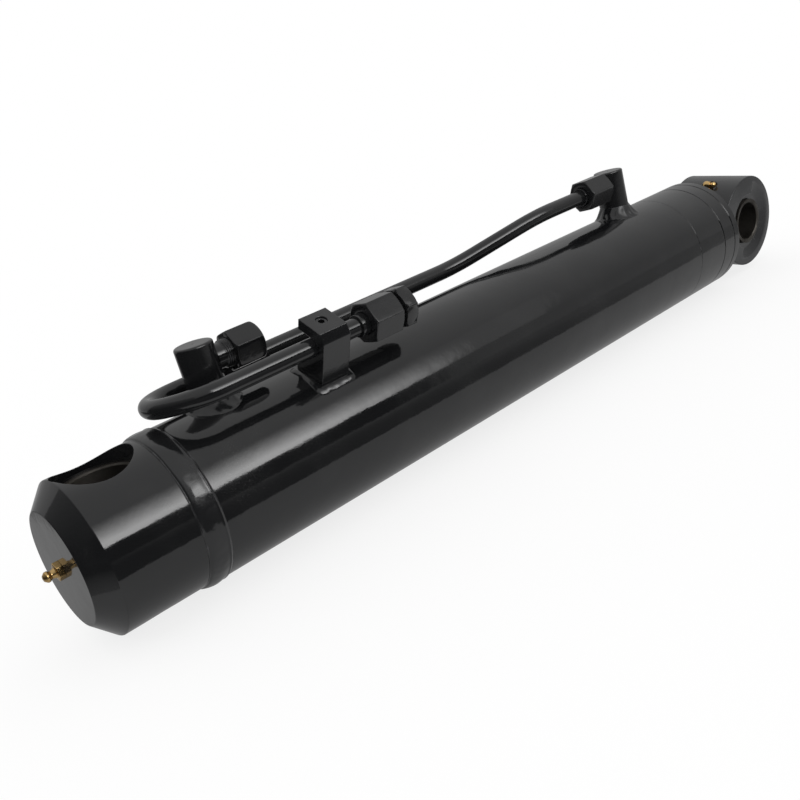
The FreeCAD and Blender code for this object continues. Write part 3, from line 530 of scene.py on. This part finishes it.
def port_weld(label, post, seed):
    """The large fillet round the foot of a port post."""
    low, high = corners(label)
    centre = middle(post)
    radius = (corners(post)[1].y - corners(post)[0].y) / 2
    leg = (high.x - low.x) / 2 - radius + 1.0 * MM
    verts, faces = fillet_mesh(round_rim(radius - 0.1 * MM), leg, high.z - BARREL_RADIUS - 3.5 * MM,
                               barrel_height, seed, 0.9 * MM, 5.5 * MM, 1.7, 0.06)
    piece(label + "_bead", verts, faces, [label], matrix=Matrix.Translation((centre.x, 0, 0)))


def clamp_bead():
    """The bead round the clamp's foot, in the clamp's own upright frame."""
    lean = Matrix.Rotation(CLAMP_LEAN, 4, "X")
    low, high = corners("tube_clamp_block")
    rim = box_rim(Vector((low.x, -CLAMP_NEAR)), Vector((high.x, CLAMP_FAR)), 0.5 * MM)
    verts, faces = fillet_mesh(rim, 5.0 * MM, 1.6 * MM, barrel_height, 21.0,
                               0.16 * MM, 6.5 * MM, 0.7, 0.35)
    piece("clamp_weld_bead", verts, faces, ["clamp_weld"], matrix=lean)


def eye_bead():
    """The bead between the rod and the round side of the eye."""
    def ground(x, y):
        across = x * math.cos(EYE_TILT) + y * math.sin(EYE_TILT)
        return math.sqrt(max(1e-9, EYE_RADIUS ** 2 - across ** 2)) - EYE_CENTRE.x

    frame_turn = Matrix(((0, 0, -1, 0), (0, 1, 0, 0), (1, 0, 0, 0), (0, 0, 0, 1)))
    verts, faces = fillet_mesh(round_rim(ROD_RADIUS - 0.05 * MM), 5.2 * MM, 5.5 * MM, ground,
                               33.0, 0.4 * MM, 3.6 * MM)
    piece("rod_eye_weld_bead", verts, faces, ["rod_eye_weld"], "rod", frame_turn)


base_weld()
port_weld("base_port_weld", "base_port_post", 11.0)
port_weld("head_port_weld", "head_port_post", 17.0)
clamp_bead()
eye_bead()


# ---------------------------------------------------------------- tube and fittings

def return_tube():
    """The bent line: head leg, S-bend, back leg, U-bend and front leg."""
    high = middle("head_tube_nut")
    front = middle("coupling_nut")
    back = BACK_LEG_END
    start = Vector((corners("head_port_adapter")[0].x + 9 * MM, high.y, high.z))
    s_high = Vector((S_BEND_HIGH, high.y, high.z))
    s_low = Vector((S_BEND_LOW, back.y, back.z))
    slope = (s_low - s_high).normalized()
    points = [start]

    def bend(corner, into, out):
        turn = into.angle(out)
        first = corner - into * (S_BEND_RADIUS * math.tan(turn / 2))
        centre = corner + (out - into).normalized() * (S_BEND_RADIUS / math.cos(turn / 2))
        axis = into.cross(out)
        for step in range(25):
            spin = Matrix.Rotation(turn * step / 24, 3, axis)
            points.append(centre + spin @ (first - centre))

    def straight(end, count):
        here = points[-1]
        for step in range(1, count):
            points.append(here.lerp(end, step / count))

    backward = Vector((-1, 0, 0))
    straight(s_high + Vector((20 * MM, 0, 0)), 6)
    bend(s_high, backward, slope)
    bend(s_low, slope, backward)
    straight(back, 30)
    front_start = Vector((back.x, front.y, front.z))
    centre = (back + front_start) / 2
    reach = (front_start - back).length / 2
    for step in range(65):
        angle = math.pi * step / 64
        points.append(centre + (back - centre) * math.cos(angle)
                      + backward * (reach * math.sin(angle)))
    straight(Vector((front.x, front.y, front.z)), 16)
    verts, faces = tube_mesh(points, TUBE_RADIUS)
    piece("return_tube_bent", verts, faces, ["return_tube"])


def placed_at(label):
    """The matrix that takes a piece turned about X at the origin to a node's own axis."""
    centre = middle(label)
    return Matrix.Translation((0, centre.y, centre.z))


def hexagon_outline(start, end, full):
    """Outline points of a hexagon bar that is bevelled at both ends."""
    return [(start, full - BEVEL_DROP), (start + BEVEL_LENGTH, full + CORNER_SPARE),
            (end - BEVEL_LENGTH, full + CORNER_SPARE), (end, full - BEVEL_DROP)]


def tube_nut(label, flats, corner_degrees):
    """A bevelled tube nut; its thin lip faces the tube."""
    low, high = corners(label)
    full = flats / math.sqrt(3)
    profile = rounded([(low.x, SLEEVE_BORE), *hexagon_outline(low.x, high.x, full),
                       (high.x, NUT_BORE), (low.x + NUT_LIP, NUT_BORE),
                       (low.x + NUT_LIP, SLEEVE_BORE)], 0.6 * MM)
    verts, faces = lathe_mesh(profile, 288, hexagon_shape(flats, corner_degrees))
    piece(label + "_bevelled", verts, faces, [label], matrix=placed_at(label))


def hexagon_shape(flats, corner_degrees, inner=10 * MM):
    """A shape for lathe_mesh that trims what lies outside a hexagon, with soft corners."""
    start = math.radians(corner_degrees)

    def shape(along, radius, angle):
        if radius < inner:
            return along, radius
        reach = hexagon_reach(angle, flats, start)
        soft = 0.0003
        gap = (reach - radius) / soft
        low = min(reach, radius)
        return along, low - soft * math.log1p(math.exp(-abs(gap)))
    return shape


def base_nut():
    """The open nut at the base post, its outer end well rounded."""
    low, high = corners("base_port_nut")
    full = NUT_FLATS / math.sqrt(3)
    nose_length, nose_drop, socket_end = 6.2 * MM, 4.6 * MM, high.x - 8 * MM
    outer = []
    for step in range(13):
        angle = math.radians(90 * step / 12)
        outer.append((high.x - nose_length * (1 - math.sin(angle)),
                      full + CORNER_SPARE - nose_drop * (1 - math.cos(angle))))
    profile = [(low.x, NUT_BORE), (low.x, full - 1.7 * MM), (low.x + 0.4 * MM, full - 0.8 * MM),
               (low.x + 1.2 * MM, full + 0.2 * MM)]
    profile += outer
    profile += [(high.x, TUBE_SOCKET + 0.5 * MM), (high.x - 0.5 * MM, TUBE_SOCKET),
                (socket_end, TUBE_SOCKET), (socket_end, NUT_BORE)]
    verts, faces = lathe_mesh(profile, 288, hexagon_shape(NUT_FLATS, 44.0))
    piece("base_port_nut_round", verts, faces, ["base_port_nut"], matrix=placed_at("base_port_nut"))


def thread(start, end, root):
    """Outline points of a run of thread rings along X."""
    points = []
    count = int(round((end - start) / THREAD_PITCH))
    for turn in range(count):
        at = start + (end - start) * turn / count
        points += [(at, root), (at + THREAD_PITCH * 0.4, THREAD_RADIUS),
                   (at + THREAD_PITCH * 0.6, THREAD_RADIUS)]
    return points + [(end, root)]


def base_adapter():
    """The neck between the base post and its nut, threaded towards the nut."""
    low, high = corners("base_port_adapter")
    nut = corners("base_port_nut")[0].x
    post = corners("base_port_post")[1].x
    collar = post - 2.4 * MM
    socket_end = high.x - 10 * MM
    profile = [(low.x, PASSAGE), (low.x, 7 * MM), (collar, 7 * MM),
               (collar, 8 * MM), (nut - 5.5 * MM, 8 * MM), (nut - 5.2 * MM, 8.4 * MM)]
    profile += thread(nut - 4.8 * MM, high.x, 8.25 * MM)
    profile += [(high.x, TUBE_SOCKET), (socket_end, TUBE_SOCKET), (socket_end, PASSAGE)]
    verts, faces = lathe_mesh(profile, 120)
    piece("base_port_neck", verts, faces, ["base_port_adapter"],
          matrix=placed_at("base_port_adapter"), sharp=50.0)


def coupling_end():
    """The female coupling: a hexagon, and the thread that shows beside the nut."""
    low, high = corners("coupling_body")
    hex_at, hole_end = high.x - 9.5 * MM, high.x - 14 * MM
    hole, seat, seat_end, root = 6.58 * MM, 6.05 * MM, low.x + 10 * MM, 8.2 * MM
    nut_end = corners("coupling_nut")[1].x
    profile = [(low.x, seat)]
    profile += thread(low.x + 0.5 * MM, nut_end + 1.5 * MM, root)
    profile += [(hex_at, root)]
    profile += hexagon_outline(hex_at, high.x, COUPLING_FLATS / math.sqrt(3))
    profile += [(high.x, 7.4 * MM), (high.x - 0.8 * MM, hole), (hole_end, hole),
                (hole_end, PASSAGE), (seat_end, PASSAGE), (seat_end, seat)]
    verts, faces = lathe_mesh(profile, 288, hexagon_shape(COUPLING_FLATS, 54.0))
    piece("coupling_body_threaded", verts, faces, ["coupling_body"],
          matrix=placed_at("coupling_body"), sharp=50.0)


def port_post(label, seed):
    """A turned post with a rounded rim; its foot runs down inside its weld."""
    low, high = corners(label)
    radius = (high.y - low.y) / 2
    foot, core, rim_radius = low.z - 0.5 * MM, 0.5 * MM, 1.5 * MM
    rim = [(foot, core), (foot, radius)]
    for step in range(9):
        angle = math.radians(90 * step / 8)
        rim.append((high.z - rim_radius * (1 - math.sin(angle)),
                    radius - rim_radius * (1 - math.cos(angle))))
    rim += [(high.z - 0.05 * MM, radius * 0.6), (high.z - 0.1 * MM, core)]

    def shape(along, reach, angle):
        spot = (along, reach * math.cos(angle), reach * math.sin(angle))
        return along, reach + 0.08 * MM * wobble(spot, 90.0, seed)

    verts, faces = lathe_mesh(rim, 128, shape)
    centre = middle(label)
    upright = Matrix.Translation((centre.x, 0, 0)) @ Matrix.Rotation(math.radians(-90), 4, "Y")
    piece(label + "_turned", verts, faces, [label], matrix=upright)


def grease_head(start, length, hexagon):
    """Outline of a grease fitting's visible part; the tip has a dished ball seat."""
    sunk, tip = start - 4 * MM, start + length
    thread_radius, neck, head, core = 3.6 * MM, 2.4 * MM, 3.25 * MM, 0.4 * MM
    lines = [(sunk, core), (sunk, thread_radius), (start, thread_radius),
             (start, hexagon), (start + 3.4 * MM, hexagon), (start + 3.7 * MM, 3.2 * MM),
             (tip - 5 * MM, neck), (tip - 4 * MM, neck), (tip - 3.2 * MM, head),
             (tip - 1.8 * MM, head), (tip - 0.3 * MM, 1.9 * MM), (tip, 1.5 * MM),
             (tip - 0.1 * MM, 0.9 * MM), (tip + 0.15 * MM, core)]
    return rounded(lines, 0.3 * MM, 3)


def base_grease_fitting():
    """The fitting in the middle of the base's end face."""
    low = corners("base_grease_fitting")[0]
    face = corners("base_end_block")[0].x
    verts, faces = lathe_mesh(grease_head(0.0, face - low.x - 0.15 * MM, 5.8 * MM), 192,
                              hexagon_shape(10 * MM, 42.0, 4.5 * MM))
    spin = Matrix.Translation((face, 0, 0)) @ Matrix.Rotation(math.pi, 4, "Z")
    piece("base_grease_fitting_brass", verts, faces, ["base_grease_fitting"], matrix=spin)


return_tube()
tube_nut("head_tube_nut", NUT_FLATS, 55.0)
tube_nut("coupling_nut", COUPLING_FLATS, 57.5)
base_nut()
base_adapter()
coupling_end()
port_post("base_port_post", 41.0)
port_post("head_port_post", 47.0)
base_grease_fitting()
for label, width, body in (("rod_eye", 0.9 * MM, "rod"), ("base_end_block", 0.6 * MM, "barrel"),
                           ("tube_clamp_block", 0.5 * MM, "barrel")):
    softened(label, width, body)
elbow_seat = EYE_CENTRE + Vector((-17.25 * MM, -4.8 * MM, 33.6 * MM))
smaller = Matrix.Translation(elbow_seat) @ Matrix.Scale(0.85, 4) @ Matrix.Translation(-elbow_seat)
softened("rod_grease_fitting", 0.25 * MM, "rod", change=smaller)


# ---------------------------------------------------------------- stage, light and camera

CAMERA_PLACE = Vector((-0.15021, -0.49278, 0.18916))
CAMERA_AIM = Vector((0.25016, 0.04062, -0.0234))
CAMERA_LENS, CAMERA_ROLL = 40.63, -15.6


def camera_frame():
    """The main camera: where it stands, what it looks at and how far it is rolled."""
    data = bpy.data.cameras.new("camera")
    data.lens = CAMERA_LENS
    data.sensor_width = 36.0
    camera = bpy.data.objects.new("camera", data)
    bpy.context.scene.collection.objects.link(camera)
    look = CAMERA_AIM - CAMERA_PLACE
    turn = look.to_track_quat("-Z", "Y").to_matrix().to_4x4()
    roll = Matrix.Rotation(math.radians(CAMERA_ROLL), 4, "Z")
    camera.matrix_world = Matrix.Translation(CAMERA_PLACE) @ turn @ roll
    bpy.context.scene.camera = camera


def glow(name, strength, shade):
    """A white emission material; shade works out its strength over the card."""
    material = bpy.data.materials.new(name)
    material.use_nodes = True
    tree = material.node_tree
    tree.nodes.clear()
    light = add(tree, "ShaderNodeEmission", {"Color": (1, 1, 1, 1),
                                             "Strength": shade(tree, strength)})
    out = tree.nodes.new("ShaderNodeOutputMaterial")
    tree.links.new(light.outputs[0], out.inputs["Surface"])
    return material


def card(name, points, material):
    """A four-cornered card that only reflections see."""
    mesh = bpy.data.meshes.new(name)
    mesh.from_pydata([tuple(point) for point in points], [], [(0, 1, 2, 3)])
    uv = mesh.uv_layers.new(name="across")
    for loop, value in zip(uv.data, ((0, 0), (1, 0), (1, 1), (0, 1))):
        loop.uv = value
    item = bpy.data.objects.new(name, mesh)
    bpy.context.scene.collection.objects.link(item)
    mesh.materials.append(material)
    item.visible_camera = False
    item.visible_diffuse = False
    item.visible_transmission = False
    item.visible_shadow = False


def level_corners(left, right, near, beyond, height):
    """The corners of a level card."""
    return [Vector((left, near, height)), Vector((right, near, height)),
            Vector((right, beyond, height)), Vector((left, beyond, height))]


def direction(degrees):
    """A direction across the cylinder towards -Y, raised by an angle."""
    angle = math.radians(degrees)
    return Vector((0, -math.cos(angle), math.sin(angle)))


def world_point(tree):
    """The three world coordinates of the point that is shaded."""
    place = add(tree, "ShaderNodeNewGeometry").outputs["Position"]
    return add(tree, "ShaderNodeSeparateXYZ", {"Vector": place}).outputs


def softbox_shade(tree, strength):
    """Even at its lower edge, fading upwards and, beyond the barrel's middle, along X."""
    across = add(tree, "ShaderNodeSeparateXYZ", {"Vector": add(tree, "ShaderNodeUVMap").outputs[0]})
    up = math_node(tree, "POWER", remap(tree, across.outputs[1], 0.2, 1.0, 1.0, 0.0), 1.5)
    along = remap(tree, world_point(tree)[0], 0.72, 1.2, 1.0, 0.0)
    extra = math_node(tree, "MULTIPLY", math_node(tree, "MULTIPLY", up, along), strength)
    return math_node(tree, "ADD", extra, 0.72)


def wall_shade(tree, strength):
    """Almost black beside the cylinder's base and grey far beyond its head."""
    return remap(tree, world_point(tree)[0], 1.6, 1.95, strength, 22 * strength)


def dark_floor_shade(tree, strength):
    """The dark cloth in front of the cylinder, lighter towards its head."""
    return remap(tree, world_point(tree)[0], 0.1, 0.75, 2.5 * strength, 17 * strength)


def side_shade(tree, strength):
    """Dark beside the base's end, lighter upwards."""
    return remap(tree, world_point(tree)[2], 0.2, 1.1, strength, 18 * strength)


def side_floor_shade(tree, strength):
    """Dark at a distance from the base's end face and lighter close to it."""
    return remap(tree, world_point(tree)[0], -0.25, -0.1, strength, 15 * strength)


def dimmed_in_reflections(tree, dimmed):
    """Full strength for the camera, and another strength for what the paint mirrors."""
    mirrored = add(tree, "ShaderNodeLightPath").outputs["Is Glossy Ray"]
    return add(tree, "ShaderNodeMapRange", {"Value": mirrored, "To Min": 1.0,
                                            "To Max": dimmed}).outputs[0]


camera_frame()
bpy.context.scene.view_settings.view_transform = "Standard"
FLOOR = CAD_BOX[0][2] - 0.5 * MM
NEAR_BLACK = 0.02
SOFTBOX_DISTANCE, WALL_DISTANCE = 1.2, 2.2
SIDE_DISTANCE, SIDE_FRONT, SIDE_BACK, SIDE_TOP = 1.0, -1.2, 1.3, 1.1
CLOTH_LEFT, CLOTH_RIGHT, CLOTH_EDGE = -4, 6, -0.14
SIDE_CLOTH_END, SIDE_CLOTH_BACK = -0.095, 1.0
WALL_LEFT = -8
low_edge, high_edge = direction(19) * SOFTBOX_DISTANCE, direction(52) * SOFTBOX_DISTANCE
left, right = Vector((-0.1, 0, 0)), Vector((1.5, 0, 0))
card("softbox", [low_edge + left, low_edge + right, high_edge + right, high_edge + left],
     glow("softbox_light", 6.9, softbox_shade))
far = direction(21) * WALL_DISTANCE
card("dark_wall", [Vector((WALL_LEFT, far.y, FLOOR)), Vector((CLOTH_RIGHT, far.y, FLOOR)),
                   Vector((CLOTH_RIGHT, far.y, far.z)), Vector((WALL_LEFT, far.y, far.z))],
     glow("wall_dark", NEAR_BLACK, wall_shade))
cloth = FLOOR + MM
card("dark_floor", level_corners(CLOTH_LEFT, CLOTH_RIGHT, far.y, CLOTH_EDGE, cloth),
     glow("cloth_dark", NEAR_BLACK, dark_floor_shade))
side = -SIDE_DISTANCE
card("dark_side", [Vector((side, SIDE_FRONT, FLOOR)), Vector((side, SIDE_BACK, FLOOR)),
                   Vector((side, SIDE_BACK, SIDE_TOP)), Vector((side, SIDE_FRONT, SIDE_TOP))],
     glow("side_dark", NEAR_BLACK, side_shade))
card("dark_side_floor", level_corners(side, SIDE_CLOTH_END, SIDE_FRONT, SIDE_CLOTH_BACK, cloth),
     glow("side_floor_dark", NEAR_BLACK, side_floor_shade))

bpy.ops.mesh.primitive_plane_add(size=8, location=(0.3, 0, FLOOR))
floor = bpy.context.object
floor.name = "floor"
white, tree, shader = new_material("floor_white")
shader.inputs["Base Color"].default_value = (1, 1, 1, 1)
shader.inputs["Roughness"].default_value = 0.9
shader.inputs["Specular IOR Level"].default_value = 0.0
# Painted shade: the floor glows evenly for the camera, but in reflections its glow is darker close under
# the cylinder, a painted contact shadow.
painted_shade_under_cylinder = remap(tree, world_point(tree)[1], -0.08, 0.02, 0.58, 0.28)
lit = add(tree, "ShaderNodeEmission", {"Color": (1, 1, 1, 1),
                                       "Strength": dimmed_in_reflections(tree, painted_shade_under_cylinder)})
blend = add(tree, "ShaderNodeMixShader", {0: 0.8, 1: shader.outputs[0], 2: lit.outputs[0]})
tree.links.new(blend.outputs[0], tree.nodes["Material Output"].inputs["Surface"])
floor.data.materials.append(white)

world = bpy.data.worlds.new("studio")
world.use_nodes = True
bpy.context.scene.world = world
sky = world.node_tree.nodes["Background"]
sky.inputs[0].default_value = (1, 1, 1, 1)
heading = add(world.node_tree, "ShaderNodeSeparateXYZ", {
    "Vector": add(world.node_tree, "ShaderNodeTexCoord").outputs["Generated"]}).outputs[2]
ceiling = remap(world.node_tree, heading, 0.1, 0.8, 0.38, 0.75)
world.node_tree.links.new(dimmed_in_reflections(world.node_tree, ceiling), sky.inputs[1])
